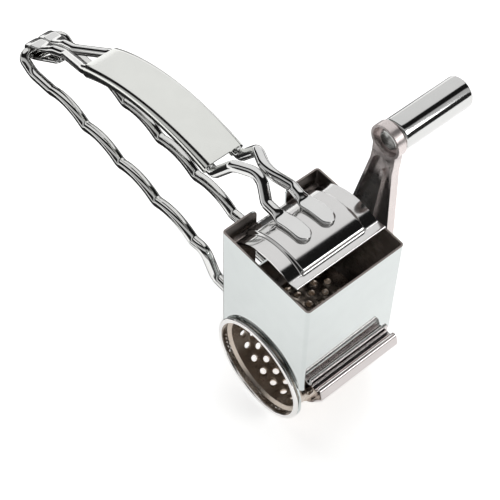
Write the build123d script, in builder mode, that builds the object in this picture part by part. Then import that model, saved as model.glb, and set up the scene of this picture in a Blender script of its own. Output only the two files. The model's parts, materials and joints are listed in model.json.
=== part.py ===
from build123d import *
import os
from math import asin, atan2, cos, degrees, radians, sin, sqrt, tan

# Rotary hand grater in stainless steel. Millimetres, +Z up. The origin is the centre of the
# drum's open mouth. The drum axis runs along +Y from the mouth to the crank, and the
# squeeze handle lies towards -X.
os.makedirs("parts", exist_ok=True)

# ---- driving dimensions ----
SHEET = 0.8                  # stainless sheet of the hopper, drum and lip
RUNNING_FIT = 0.08           # radial clearance of every bearing

# hopper
HOPPER_SIDE = 50.0           # outer width and depth
HOPPER_TOP = 69.3            # rim above the drum axis
FRONT_BOTTOM = 12.0          # lower edge of the front wall above the drum axis
TAB_BOTTOM = -4.0            # lower edge of the two back tabs
NOTCH_WIDTH = 15.4           # gap between the back tabs
NOTCH_FLOOR = 29.0
BEND_R = 1.6                 # outer radius of the sheet's vertical bends
TAB_CORNER_R = 3.0           # rounded top corners of the tabs

# drum
MOUTH_PROUD = 2.0            # the mouth stands this far out of the hopper wall
BODY_R = HOPPER_SIDE / 2 - 2.8           # perforated body
BAND_R = BODY_R + 1.5        # plain band that turns in the hopper wall
BAND_LENGTH = 3.2
CURL_R = 0.7                 # rolled rim
CURL_OUTER_R = HOPPER_SIDE / 2
FIRST_ROW = 10.0             # first row of holes, from the mouth
HOLE_D = 2.9
HOLES_ROUND = 20
ROW_PITCH = 4.5
BURR_HEIGHT = 0.55
BURR_WALL = 0.55
DRUM_END_GAP = 1.6           # between the closed end and the bush flange

# drive: boss, bush, screw
BOSS_R = 6.0
SQUARE = 8.0
BUSH_WALL = 1.4
BUSH_FLANGE_R = 10.5
SCREW_R = 2.5
HUB_GAP = 1.4                # crank hub stands this far off the hopper wall

# crank arm: a pressed channel, open towards the hopper
ARM_LENGTH = 100.2           # drum axis to grip axis
ARM_HUB_R = 18.0
ARM_WAIST = (10.7, 57.0)     # half width and height where the hub's flare ends
ARM_NECK_HALF = 6.0
ARM_NECK_AT = ARM_LENGTH - 13.5
ARM_EYE_R = 7.6
ARM_DEPTH = 4.0
ARM_SHEET = 1.2
ARM_LEAN = 8.0               # the grip end stands this much further out
ARM_BEND_AT = (ARM_HUB_R + 2.0, ARM_LENGTH - 9.5)   # the lean starts and ends at these heights
RIB_WIDTH = 1.6
RIB_HEIGHT = 1.2
WASHER = (7.5, 1.0)          # crank washer, radius and thickness
SCREW_HEAD = (5.5, 3.2)
SCREW_LENGTH = 11.0

# grip
GRIP_R = 7.0
GRIP_LENGTH = 35.5
GRIP_WALL = 0.8
SPINDLE_R = 3.0
GRIP_GAP = 1.0               # washer between the arm and the grip
PLUG = 3.0                   # thickness of the grip's bearing ends
RIVET_HEAD = (4.6, 1.6)
BEARING_BACK = 9.0           # the inner bearing starts this far from the grip's end
RETAINER = (4.6, 1.2)
CAP_DEPTH = 1.8

# lower handle: one bent wire
HANDLE_WIRE = 5.0
HANDLE_HALF = 11.2           # strand centres from the middle plane
SCALLOP_PITCH = 25.7
SCALLOPS = 4
SCALLOP_SLOPE = 26.0         # steepest slope of the wave
CUSP_R = 4.0
HANDLE_TILT = 5.0            # the wave rises this much towards the hinge
BACK = -HOPPER_SIDE / 2      # outside of the hopper's back, where both handles are measured from
HANDLE_END = (BACK - 138.0, 23.2)        # last cusp (x, z)
HINGE = (BACK - 161.3, 26.8)             # cross-bar centre (x, z)
CROSSBAR_BEND_R = 0.68 * HANDLE_WIRE
WELD_BEND_R = 0.58 * HANDLE_WIRE
WELD_TOP = 20.0              # the strands' ends on the tabs

# press lever, described shut and then lifted
LEVER_WIRE = 4.8
REST_LIFT = 15.6
PINCH_HALF = LEVER_WIRE / 2 + 0.02       # the two wires touch here
PLATE_HALF = 7.0             # wire centres under the thumb plate
PLATE_REAR = (BACK - 105.1, 41.0)
PLATE_FRONT = (BACK - 23.2, 29.6)
PLATE_SAGITTA = 7.85
PLATE_SHEET = 0.9
EYE_STRIP = (7.0, 1.6)       # width and thickness of the flattened wire
PADDLE_LENGTH = 14.0
PADDLE_HALF = 6.1            # paddle centres from the middle plane
PADDLE_REAR = -4.0
PADDLE_THICK = 2.0
PINCH_REAR = (HINGE[0] + 25.9, HINGE[1] + 7.6)
EYE_GAP = 0.25               # each eye from the middle plane

# press shoe: an arch over the drum
SHOE_SHEET = 1.0
SHOE_GAP = 1.3               # shut, between shoe and drum body
SHOE_STEP = 1.2              # the middle is raised
SHOE_HALF_WIDTH = HOPPER_SIDE / 2 - 2.3
SHOE_RAISED_HALF = HOPPER_SIDE / 2 - 9.0
SHOE_HALF_CHORD = BODY_R - 5.7
SHOE_FRONT = HOPPER_SIDE / 2 - 4.2       # edges of the flat flanges
SHOE_BACK = 5.7 - HOPPER_SIDE / 2

# front lip
LIP_ENDS = (HOPPER_SIDE / 2 - 5.0, HOPPER_SIDE / 2 - 3.0)   # from the middle, mouth and crank side

# ---- derived places ----
HALF = HOPPER_SIDE / 2
MID = MOUTH_PROUD + HALF                 # middle plane of the hopper
WALL_OUT = MOUTH_PROUD                   # mouth-side wall, outer face
CRANK_WALL = MOUTH_PROUD + HOPPER_SIDE   # crank-side wall, outer face
BUSH_R = BOSS_R + RUNNING_FIT + BUSH_WALL
DRUM_END = CRANK_WALL - 2 * SHEET - DRUM_END_GAP
HUB_IN = CRANK_WALL + HUB_GAP
HUB_OUT = HUB_IN + ARM_DEPTH
SHOE_IN = BODY_R + SHOE_GAP
SHOE_TOP = SHOE_IN + SHOE_STEP + SHOE_SHEET


def across(y):
    """Plane at depth y whose sketches are drawn in X and Z and extruded towards +Y."""
    return Plane(origin=(0, y, 0), x_dir=(-1, 0, 0), z_dir=(0, 1, 0))


def finish(builder, name):
    builder.part.label = name
    export_step(builder.part, f"parts/{name}.step")


def side_outline():
    """Side wall seen along Y: straight flanks and a round bottom."""
    Circle(HALF)
    with Locations((0, (HOPPER_TOP + FRONT_BOTTOM) / 2)):
        Rectangle(HOPPER_SIDE, HOPPER_TOP - FRONT_BOTTOM)
    with Locations((HALF / 2, (FRONT_BOTTOM + TAB_BOTTOM) / 2)):
        Rectangle(HALF, FRONT_BOTTOM - TAB_BOTTOM)


# ---- hopper ----
with BuildPart() as hopper_shell:
    with BuildSketch(Plane.XY.offset(TAB_BOTTOM)) as wrap:
        with Locations((0, MID)):
            RectangleRounded(HOPPER_SIDE, HOPPER_SIDE, BEND_R)
            RectangleRounded(HOPPER_SIDE - 2 * SHEET, HOPPER_SIDE - 2 * SHEET, BEND_R - SHEET,
                             mode=Mode.SUBTRACT)
    extrude(amount=HOPPER_TOP - TAB_BOTTOM)
    # the notch between the two back tabs
    with BuildSketch(Plane.YZ.offset(-HALF - 1)) as notch:
        with Locations((MID, (HOPPER_TOP + NOTCH_FLOOR) / 2 + 1)):
            Rectangle(NOTCH_WIDTH, HOPPER_TOP - NOTCH_FLOOR + 2)
    extrude(amount=BEND_R + 2, mode=Mode.SUBTRACT)
    # the front wall and the side walls' front corners stop above the lip
    with BuildSketch(across(0)) as under_front:
        with Locations((-HALF / 2 - 1, (FRONT_BOTTOM + TAB_BOTTOM) / 2 - 1)):
            Rectangle(HALF + 2, FRONT_BOTTOM - TAB_BOTTOM + 2)
    extrude(amount=CRANK_WALL + 1, mode=Mode.SUBTRACT)
    for wall in (WALL_OUT, CRANK_WALL - SHEET):
        with BuildSketch(across(wall)) as side:
            side_outline()
            with Locations((0, HOPPER_TOP - HALF)):
                Rectangle(HOPPER_SIDE - 2 * BEND_R, HOPPER_SIDE, mode=Mode.ADD)
        extrude(amount=SHEET)
    # outside the bends the side walls must not square the corners off again
    with BuildSketch(Plane.XY.offset(-HALF)) as envelope:
        with Locations((0, MID)):
            RectangleRounded(HOPPER_SIDE, HOPPER_SIDE, BEND_R)
    extrude(amount=HOPPER_TOP + HALF, mode=Mode.INTERSECT)
    with BuildSketch(across(0)) as mouth_hole:
        Circle(BAND_R + RUNNING_FIT)
    extrude(amount=MID, mode=Mode.SUBTRACT)
    with BuildSketch(across(MID)) as bush_hole:
        Circle(BUSH_R)
    extrude(amount=HOPPER_SIDE, mode=Mode.SUBTRACT)
    tab_corners = (
        hopper_shell.edges()
        .filter_by(Axis.X)
        .filter_by(lambda e: e.center().X < -HALF + SHEET and e.center().Z > HOPPER_TOP - 1)
        .filter_by(lambda e: abs(abs(e.center().Y - MID) - NOTCH_WIDTH / 2) < 0.1)
    )
    fillet(tab_corners, TAB_CORNER_R)
finish(hopper_shell, "hopper_shell")

# ---- front lip: a strip curled into a channel that clears the drum ----
LIP_CORNERS = (
    (HALF + SHEET / 2, FRONT_BOTTOM + 3.6),      # weld flange on the front wall
    (HALF + SHEET / 2, FRONT_BOTTOM - 0.4),
    (HALF + 3.2, FRONT_BOTTOM - 0.4),            # floor of the groove
    (HALF + 5.2, FRONT_BOTTOM + 4.4),            # ridge
    (HALF + 7.4, FRONT_BOTTOM - 2.5),            # nose
    (HALF + 1.6, FRONT_BOTTOM - 11.0),
    (BODY_R + 1.7, FRONT_BOTTOM - 14.0),         # tip under the drum
)
LIP_BENDS = (0.8, 0.8, 1.0, 3.0, 2.4)
with BuildPart() as front_lip:
    with BuildSketch(across(MID - LIP_ENDS[0])) as lip_section:
        with BuildLine():
            lip_line = FilletPolyline(*[(-x, z) for x, z in LIP_CORNERS], radius=LIP_BENDS)
            offset(lip_line, SHEET / 2, side=Side.BOTH)
        make_face()
    extrude(amount=LIP_ENDS[0] + LIP_ENDS[1])
finish(front_lip, "front_lip")

# ---- bush pressed in the crank-side wall ----
with BuildPart() as crank_side_bush:
    with BuildSketch(across(CRANK_WALL - SHEET)) as bush_ring:
        Circle(BUSH_R)
    extrude(amount=SHEET + HUB_GAP / 2)
    with BuildSketch(across(CRANK_WALL - 2 * SHEET)) as bush_flange:
        Circle(BUSH_FLANGE_R)
    extrude(amount=SHEET)
    with BuildSketch(across(MID)) as bush_bore:
        Circle(BOSS_R + RUNNING_FIT)
    extrude(amount=HOPPER_SIDE, mode=Mode.SUBTRACT)
finish(crank_side_bush, "crank_side_bush")

# ---- lower handle: one wire, welded to both tabs and waved for the fingers ----
CREST_R = SCALLOP_PITCH / 2 / sin(radians(SCALLOP_SLOPE)) - CUSP_R - 0.1
HALF_WAVE = SCALLOP_PITCH / 2
WAVE_RISE = HALF_WAVE * tan(radians(SCALLOP_SLOPE))


def wave_point(step):
    """Corner of the zigzag that the wave is rounded from: even steps are cusps."""
    along = step * HALF_WAVE
    up = WAVE_RISE * (step % 2) - 0.45
    tilt = radians(HANDLE_TILT)
    x = HANDLE_END[0] + along * cos(tilt) + up * sin(tilt)
    z = HANDLE_END[1] - along * sin(tilt) + up * cos(tilt)
    return x, z


WELD_X = BACK - HANDLE_WIRE / 2 + 0.1    # the wire sinks this little into the weld
strand = [(HINGE[0] + 8.0, HANDLE_END[1] - 1.6)]
strand_radii = [8.0]
for step in range(2 * SCALLOPS + 1):
    strand.append(wave_point(step))
    strand_radii.append(CREST_R if step % 2 else CUSP_R)
last_cusp = wave_point(2 * SCALLOPS)
strand += [
    (last_cusp[0] + 7.6, last_cusp[1] + 1.4),
    (BACK - 20.5, 3.0),
    (BACK - 1.8 * HANDLE_WIRE, 3.4),
    (WELD_X, TAB_BOTTOM - 0.5),
    (WELD_X, WELD_TOP),
]
strand_radii += [6.0, 5.0, 5.0, WELD_BEND_R]
near_strand = [(x, MID - HANDLE_HALF, z) for x, z in strand]
far_strand = [(x, MID + HANDLE_HALF, z) for x, z in strand]
with BuildPart() as lower_handle_wire:
    with BuildLine() as bail:
        FilletPolyline(*reversed(near_strand), (HINGE[0], MID - HANDLE_HALF, HINGE[1]),
                       (HINGE[0], MID + HANDLE_HALF, HINGE[1]), *far_strand,
                       radius=(*reversed(strand_radii), CROSSBAR_BEND_R, CROSSBAR_BEND_R,
                               *strand_radii))
    with BuildSketch(bail.line ^ 0) as wire_section:
        Circle(HANDLE_WIRE / 2)
    sweep()
finish(lower_handle_wire, "lower_handle_wire")

# ---- press lever wires ----
PLATE_CHORD = sqrt((PLATE_FRONT[0] - PLATE_REAR[0]) ** 2 + (PLATE_FRONT[1] - PLATE_REAR[1]) ** 2)
PLATE_R = (PLATE_CHORD ** 2 / 4 + PLATE_SAGITTA ** 2) / (2 * PLATE_SAGITTA)
PLATE_HALF_ANGLE = degrees(asin(PLATE_CHORD / 2 / PLATE_R))
PLATE_TILT = degrees(atan2(PLATE_FRONT[1] - PLATE_REAR[1], PLATE_FRONT[0] - PLATE_REAR[0]))
BOW_X = (PLATE_REAR[0] + PLATE_FRONT[0]) / 2 + (PLATE_R - PLATE_SAGITTA) * sin(radians(PLATE_TILT))
BOW_Z = (PLATE_REAR[1] + PLATE_FRONT[1]) / 2 - (PLATE_R - PLATE_SAGITTA) * cos(radians(PLATE_TILT))
HINGE_AXIS = Axis((HINGE[0], MID, HINGE[1]), (0, -1, 0))
EYE_RISE = atan2(PINCH_REAR[1] - HINGE[1], PINCH_REAR[0] - HINGE[0])


def bow_corner():
    """Where the tangents at the two ends of the bowed plate meet."""
    reach = PLATE_R / cos(radians(PLATE_HALF_ANGLE))
    return BOW_X - reach * sin(radians(PLATE_TILT)), BOW_Z + reach * cos(radians(PLATE_TILT))


def bow_tangent(end, length, slope):
    """Point reached by going straight on for length from one end of the plate."""
    return end[0] + length * cos(radians(slope)), end[1] + length * sin(radians(slope))


def lift(part):
    """Raise a lever piece from the shut pose to the rest pose."""
    return part.rotate(HINGE_AXIS, REST_LIFT)


def flat_paddle(side):
    """Flattened end of a lever wire, curved to lie on the shoe."""
    paddle_y = MID + side * PADDLE_HALF
    with BuildPart() as paddle:
        with BuildSketch(across(paddle_y - EYE_STRIP[0] / 2)) as layer:
            Circle(SHOE_TOP + PADDLE_THICK)
            Circle(SHOE_TOP, mode=Mode.SUBTRACT)
        extrude(amount=EYE_STRIP[0])
        with BuildSketch(Plane.XY.offset(SHOE_TOP / 2)) as outline:
            with Locations((PADDLE_REAR + PADDLE_LENGTH / 2, paddle_y)):
                SlotOverall(PADDLE_LENGTH, EYE_STRIP[0])
            with Locations((PADDLE_REAR + PADDLE_LENGTH / 4, paddle_y)):
                Rectangle(PADDLE_LENGTH / 2, EYE_STRIP[0])
        extrude(amount=SHOE_TOP, mode=Mode.INTERSECT)
    return paddle.part


def wire_eye(side):
    """Flattened wire bent round the cross-bar, its two legs closing at the pinch."""
    half = EYE_STRIP[0] / 2
    reach = sqrt((PINCH_REAR[0] - HINGE[0]) ** 2 + (PINCH_REAR[1] - HINGE[1]) ** 2)
    bore = HANDLE_WIRE / 2 + RUNNING_FIT
    eye_plane = Plane(origin=(HINGE[0], MID + side * (half + EYE_GAP), HINGE[1]),
                      x_dir=(cos(EYE_RISE), 0, sin(EYE_RISE)), z_dir=(0, -1, 0))
    with BuildPart() as eye:
        with BuildSketch(eye_plane.offset(-half)) as outer:
            Circle(bore + EYE_STRIP[1])
            with Locations((reach - 3.0, 0)):
                Circle(LEVER_WIRE / 2)
            make_hull()
        extrude(amount=2 * half)
        with BuildSketch(eye_plane.offset(-half)) as inner:
            Circle(bore)
            with Locations((reach - 12.0, 0)):
                Circle(0.8)
            make_hull()
        extrude(amount=2 * half, mode=Mode.SUBTRACT)
        with BuildSketch(Plane.XY.offset(HINGE[1] - HANDLE_END[1])) as narrowing:
            with BuildLine():
                Polyline((HINGE[0] - 6, MID + side * EYE_GAP),
                         (PINCH_REAR[0] + 3, MID + side * 0.05),
                         (PINCH_REAR[0] + 3, MID + side * 2 * PINCH_HALF),
                         (HINGE[0] + 13, MID + side * (EYE_GAP + 2 * half)),
                         (HINGE[0] - 6, MID + side * (EYE_GAP + 2 * half)), close=True)
            make_face()
        extrude(amount=HINGE[1] + HANDLE_END[1], mode=Mode.INTERSECT)
    return eye.part


def lever_wire(side, name):
    """One wire: flattened eye on the cross-bar, bowed middle and flattened paddle."""
    rear = bow_tangent(PLATE_REAR, -5.0, PLATE_TILT + PLATE_HALF_ANGLE)
    front = bow_tangent(PLATE_FRONT, 3.0, PLATE_TILT - PLATE_HALF_ANGLE)
    corner = bow_corner()
    route_points = [
        (PINCH_REAR[0] - 9, PINCH_HALF, PINCH_REAR[1] - 9 * tan(EYE_RISE)),
        (PINCH_REAR[0] + 2, PINCH_HALF, PINCH_REAR[1] + 0.4),
        (rear[0], PLATE_HALF, rear[1]),
        (corner[0], PLATE_HALF, corner[1]),
        (front[0], PLATE_HALF, front[1]),
        (-31.2, 6.2, SHOE_TOP + 13.4),           # crest behind the crossing
        (-20.5, PINCH_HALF - 1.07, SHOE_TOP + 11.6),     # where the two wires touch
        (-12.8, 6.6, SHOE_TOP + 4.5),
        (PADDLE_REAR - 4.6, PADDLE_HALF, SHOE_TOP + LEVER_WIRE / 2 + 0.3),
    ]
    with BuildPart() as wire:
        with BuildLine() as route:
            FilletPolyline(*[(x, MID + side * y, z) for x, y, z in route_points],
                           radius=(12.0, 12.0, PLATE_R, 3.6, 6.0, 9.0, 4.0))
        with BuildSketch(route.line ^ 0):
            Circle(LEVER_WIRE / 2)
        sweep()
        # the round wire flattens into the paddle
        with BuildSketch(route.line ^ 1):
            Circle(LEVER_WIRE / 2)
        with BuildSketch(Plane(origin=(PADDLE_REAR + 0.5, MID + side * PADDLE_HALF, SHOE_TOP + 0.9),
                               x_dir=(0, 1, 0), z_dir=(1, 0, 0.1))):
            Rectangle(EYE_STRIP[0] - 0.2, PADDLE_THICK - 0.5)
        loft()
        add(flat_paddle(side))
        add(wire_eye(side))
    wire.part = lift(wire.part)
    finish(wire, name)


lever_wire(-1, "near_lever_wire")
lever_wire(1, "far_lever_wire")

# ---- thumb plate: bowed sheet, its long edges rolled round the wires ----
ROLL_IN = LEVER_WIRE / 2 + 0.03
with BuildPart() as thumb_plate:
    bow_plane = Plane(origin=(BOW_X, MID, BOW_Z),
                      x_dir=(0, 1, 0),
                      z_dir=(cos(radians(PLATE_TILT + PLATE_HALF_ANGLE)), 0,
                             sin(radians(PLATE_TILT + PLATE_HALF_ANGLE))))
    with BuildSketch(bow_plane) as plate_section:
        with Locations((0, PLATE_R + ROLL_IN + PLATE_SHEET / 2)):
            Rectangle(2 * PLATE_HALF, PLATE_SHEET)
        with Locations((-PLATE_HALF, PLATE_R), (PLATE_HALF, PLATE_R)):
            Circle(ROLL_IN + PLATE_SHEET)
        with Locations((-PLATE_HALF, PLATE_R), (PLATE_HALF, PLATE_R)):
            Circle(ROLL_IN, mode=Mode.SUBTRACT)
        # the rolled edges stay open towards the middle, under the plate
        with Locations((0, PLATE_R - ROLL_IN / 2 - PLATE_SHEET / 2)):
            Rectangle(2 * PLATE_HALF, ROLL_IN + PLATE_SHEET + 1.0, mode=Mode.SUBTRACT)
    revolve(axis=Axis((BOW_X, MID, BOW_Z), (0, 1, 0)), revolution_arc=2 * PLATE_HALF_ANGLE)
thumb_plate.part = lift(thumb_plate.part)
finish(thumb_plate, "thumb_plate")

# ---- press shoe: an arch with a raised middle and two flat flanges ----
FLANGE_Z = sqrt(SHOE_IN ** 2 - SHOE_HALF_CHORD ** 2)


def shoe_layer(y, length, inner, outer, mode=Mode.ADD):
    """Arched slab between two radii, cut at the flanges."""
    with BuildSketch(across(y)) as layer:
        Circle(outer)
        if inner:
            Circle(inner, mode=Mode.SUBTRACT)
        with Locations((0, FLANGE_Z - outer)):
            Rectangle(4 * outer, 2 * outer, mode=Mode.SUBTRACT)
    extrude(layer.sketch, amount=length, mode=mode)


with BuildPart() as press_shoe:
    shoe_layer(MID - SHOE_HALF_WIDTH, 2 * SHOE_HALF_WIDTH, SHOE_IN, SHOE_IN + SHOE_SHEET)
    shoe_layer(MID - SHOE_RAISED_HALF, 2 * SHOE_RAISED_HALF, SHOE_IN, SHOE_TOP)
    shoe_layer(MID - SHOE_RAISED_HALF + SHOE_SHEET, 2 * (SHOE_RAISED_HALF - SHOE_SHEET),
               0, SHOE_TOP - SHOE_SHEET, Mode.SUBTRACT)
    with BuildSketch(Plane.XY.offset(FLANGE_Z)) as flanges:
        with Locations(((SHOE_FRONT + SHOE_BACK) / 2, MID)):
            RectangleRounded(SHOE_FRONT - SHOE_BACK, 2 * SHOE_HALF_WIDTH, 2.0)
        with Locations((0, MID)):
            Rectangle(2 * SHOE_HALF_CHORD + 0.2, 2 * SHOE_HALF_WIDTH + 1, mode=Mode.SUBTRACT)
    extrude(amount=SHOE_SHEET)
press_shoe.part = lift(press_shoe.part)
finish(press_shoe, "press_shoe")

# ---- drum ----
BAND_IN = BAND_R - SHEET
BODY_IN = BODY_R - SHEET
END_SKIRT = 3.0              # depth of the end disc's skirt
HOLE_ROWS = int((DRUM_END - END_SKIRT - HOLE_D - FIRST_ROW) // ROW_PITCH) + 1


def hole_places(radius):
    """Planes on the drum body, one per hole, with their normals pointing outwards."""
    for row in range(HOLE_ROWS):
        y = FIRST_ROW + row * ROW_PITCH
        for column in range(HOLES_ROUND):
            angle = radians((column + row % 2 / 2) * 360 / HOLES_ROUND)
            out = Vector(cos(angle), 0, sin(angle))
            yield Plane(origin=Vector(0, y, 0) + out * radius, x_dir=(0, 1, 0), z_dir=out)


with BuildPart() as drum_shell:
    with BuildSketch(Plane.YZ) as drum_section:
        with BuildLine():
            Polyline((0, BAND_IN), (BAND_LENGTH, BAND_IN), (BAND_LENGTH + 1, BODY_IN),
                     (DRUM_END, BODY_IN), (DRUM_END, BODY_R), (BAND_LENGTH + 1, BODY_R),
                     (BAND_LENGTH, BAND_R), (SHEET, BAND_R), (SHEET, CURL_OUTER_R - CURL_R),
                     (0, CURL_OUTER_R - CURL_R), close=True)
        make_face()
        with Locations((CURL_R, CURL_OUTER_R - CURL_R)):
            Circle(CURL_R)
    revolve(axis=Axis.Y)
    with BuildSketch(*hole_places(BODY_R - SHEET / 2)) as burr_feet:
        Circle(HOLE_D / 2 + BURR_WALL)
    extrude(amount=SHEET / 2 + BURR_HEIGHT, taper=20)
    with BuildSketch(*hole_places(BODY_IN - 1.0)) as holes:
        Circle(HOLE_D / 2)
    extrude(amount=SHEET + BURR_HEIGHT + 2.0, mode=Mode.SUBTRACT)
finish(drum_shell, "drum_shell")

with BuildPart() as drum_end_disc:
    with BuildSketch(across(DRUM_END - SHEET)) as disc:
        Circle(BODY_IN)
        Circle(BOSS_R, mode=Mode.SUBTRACT)
    extrude(amount=SHEET)
    with BuildSketch(across(DRUM_END - END_SKIRT)) as skirt:
        Circle(BODY_IN)
        Circle(BODY_IN - SHEET, mode=Mode.SUBTRACT)
    extrude(amount=END_SKIRT - SHEET)
finish(drum_end_disc, "drum_end_disc")

BOSS_FLANGE = 1.5
with BuildPart() as drum_drive_boss:
    with BuildSketch(across(DRUM_END - SHEET - BOSS_FLANGE)) as boss_flange:
        Circle(BOSS_R + 4.0)
    extrude(amount=BOSS_FLANGE)
    with BuildSketch(across(DRUM_END - SHEET)) as journal:
        Circle(BOSS_R)
    extrude(amount=HUB_OUT - ARM_SHEET - (DRUM_END - SHEET))
    with BuildSketch(across(HUB_OUT - ARM_SHEET)) as square_end:
        RectangleRounded(SQUARE, SQUARE, 0.5)
    extrude(amount=ARM_SHEET - 0.1)
    with BuildSketch(across(HUB_OUT - 12.0)) as screw_hole:
        Circle(SCREW_R)
    extrude(amount=13.0, mode=Mode.SUBTRACT)
finish(drum_drive_boss, "drum_drive_boss")

# ---- crank arm ----
RECESS_TOP = ARM_LENGTH - ARM_EYE_R - ARM_NECK_HALF - 0.5


def arm_outline(inset, top):
    """Teardrop of the arm seen along Y, pulled in by inset and rounded off at top."""
    Circle(ARM_HUB_R - inset)
    waist, neck = ARM_WAIST[0] - inset, ARM_NECK_HALF - inset
    Polygon((-(ARM_HUB_R - inset), 3.0), (-waist, ARM_WAIST[1]), (-neck, ARM_NECK_AT), (-neck, top),
            (neck, top), (neck, ARM_NECK_AT), (waist, ARM_WAIST[1]), (ARM_HUB_R - inset, 3.0),
            align=None)
    with Locations((0, top)):
        Circle(ARM_NECK_HALF - inset)


def lean_slab(near, far):
    """Leaning slab between two depths behind the arm's outer face, wider than the arm."""
    low, high = ARM_BEND_AT
    reach = ARM_LENGTH + ARM_HUB_R
    line = [(0, -reach), (0, low), (ARM_LEAN, high), (ARM_LEAN, reach)]
    with BuildPart() as slab:
        with BuildSketch(Plane.YZ.offset(-2 * ARM_HUB_R)):
            with BuildLine():
                Polyline(*[(HUB_OUT - far + y, z) for y, z in line],
                         *[(HUB_OUT - near + y, z) for y, z in reversed(line)], close=True)
            make_face()
        extrude(amount=4 * ARM_HUB_R)
    return slab.part


with BuildPart() as arm_recess:
    with BuildSketch(across(HUB_IN - 10)) as recess_sketch:
        arm_outline(ARM_SHEET, RECESS_TOP)
        with Locations((0, ARM_LENGTH)):
            Circle(ARM_EYE_R - ARM_SHEET)
    extrude(amount=ARM_DEPTH + ARM_LEAN + 20)
    add(lean_slab(ARM_SHEET, ARM_DEPTH + 1), mode=Mode.INTERSECT)

with BuildPart() as arm_rib:
    with BuildSketch(across(HUB_IN - 10)) as rib_outline:
        with Locations((0, (ARM_HUB_R + RECESS_TOP) / 2 + 3)):
            SlotOverall(RECESS_TOP - ARM_HUB_R - 12, RIB_WIDTH, rotation=90)
    extrude(amount=ARM_DEPTH + ARM_LEAN + 20)
    add(lean_slab(ARM_SHEET - 0.1, ARM_SHEET + RIB_HEIGHT), mode=Mode.INTERSECT)

with BuildPart() as crank_arm:
    with BuildSketch(across(HUB_IN - 10)) as arm_face:
        arm_outline(0, ARM_LENGTH)
        with Locations((0, ARM_LENGTH)):
            Circle(ARM_EYE_R)
    extrude(amount=ARM_DEPTH + ARM_LEAN + 20)
    add(lean_slab(0, ARM_DEPTH), mode=Mode.INTERSECT)
    add(arm_recess.part, mode=Mode.SUBTRACT)
    add(arm_rib.part)
    with BuildSketch(across(HUB_IN)) as square_hole:
        Rectangle(SQUARE, SQUARE)
    extrude(amount=ARM_DEPTH + 1, mode=Mode.SUBTRACT)
    with BuildSketch(across(HUB_IN)) as spindle_hole:
        with Locations((0, ARM_LENGTH)):
            Circle(SPINDLE_R)
    extrude(amount=ARM_DEPTH + ARM_LEAN + 1, mode=Mode.SUBTRACT)
finish(crank_arm, "crank_arm")

# ---- crank screw and its washer ----
with BuildPart() as crank_washer:
    with BuildSketch(across(HUB_OUT)):
        Circle(WASHER[0])
        Circle(SCREW_R, mode=Mode.SUBTRACT)
    extrude(amount=WASHER[1])
finish(crank_washer, "crank_washer")

with BuildPart() as crank_screw:
    with BuildSketch(across(HUB_OUT - SCREW_LENGTH)):
        Circle(SCREW_R)
    extrude(amount=SCREW_LENGTH + WASHER[1])
    with BuildSketch(across(HUB_OUT + WASHER[1])):
        Circle(SCREW_HEAD[0])
    extrude(amount=SCREW_HEAD[1])
    crown = crank_screw.edges().filter_by(GeomType.CIRCLE).sort_by(Axis.Y)[-1]
    fillet(crown, SCREW_HEAD[1] - 0.4)
    with BuildSketch(across(HUB_OUT + WASHER[1] + SCREW_HEAD[1] - 1.2)):
        Rectangle(2 * SCREW_HEAD[0] + 1, 1.0)
    extrude(amount=2.0, mode=Mode.SUBTRACT)
finish(crank_screw, "crank_screw")

# ---- grip on its riveted spindle ----
ARM_TOP_OUT = HUB_OUT + ARM_LEAN         # outer face of the arm at the grip
GRIP_START = ARM_TOP_OUT + GRIP_GAP
GRIP_END = GRIP_START + GRIP_LENGTH
BEARING_AT = GRIP_END - BEARING_BACK


def at_grip(y):
    """Plane across the grip's axis at depth y."""
    return Plane(origin=(0, y, ARM_LENGTH), x_dir=(-1, 0, 0), z_dir=(0, 1, 0))


with BuildPart() as grip_spindle:
    with BuildSketch(at_grip(ARM_TOP_OUT - ARM_SHEET)):
        Circle(SPINDLE_R)
    extrude(amount=BEARING_AT + PLUG + 3.0 - (ARM_TOP_OUT - ARM_SHEET))
    with BuildSketch(at_grip(ARM_TOP_OUT - ARM_SHEET - RIVET_HEAD[1])):
        Circle(RIVET_HEAD[0])
    extrude(amount=RIVET_HEAD[1])
    crown = grip_spindle.edges().filter_by(GeomType.CIRCLE).sort_by(Axis.Y)[0]
    fillet(crown, RIVET_HEAD[1] - 0.3)
finish(grip_spindle, "grip_spindle")

with BuildPart() as grip_washer:
    with BuildSketch(at_grip(ARM_TOP_OUT)):
        Circle(GRIP_R - 1.2)
        Circle(SPINDLE_R, mode=Mode.SUBTRACT)
    extrude(amount=GRIP_GAP - 0.3)
finish(grip_washer, "grip_washer")

with BuildPart() as spindle_retainer:
    with BuildSketch(at_grip(BEARING_AT + PLUG + 0.6)):
        Circle(RETAINER[0])
        Circle(SPINDLE_R, mode=Mode.SUBTRACT)
    extrude(amount=RETAINER[1])
finish(spindle_retainer, "spindle_retainer")

with BuildPart() as grip_sleeve:
    with BuildSketch(at_grip(GRIP_START)):
        Circle(GRIP_R)
    extrude(amount=GRIP_LENGTH)
    edge = grip_sleeve.edges().filter_by(GeomType.CIRCLE).sort_by(Axis.Y)
    fillet((edge[0], edge[-1]), 0.6)
    with BuildSketch(at_grip(GRIP_START + PLUG)):
        Circle(GRIP_R - GRIP_WALL)
    extrude(amount=GRIP_LENGTH, mode=Mode.SUBTRACT)
    with BuildSketch(at_grip(GRIP_START - 1)):
        Circle(SPINDLE_R + RUNNING_FIT)
    extrude(amount=PLUG + 2, mode=Mode.SUBTRACT)
finish(grip_sleeve, "grip_sleeve")

with BuildPart() as grip_bearing:
    with BuildSketch(at_grip(BEARING_AT)):
        Circle(GRIP_R - GRIP_WALL)
        Circle(SPINDLE_R + RUNNING_FIT, mode=Mode.SUBTRACT)
    extrude(amount=PLUG)
finish(grip_bearing, "grip_bearing")

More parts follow.
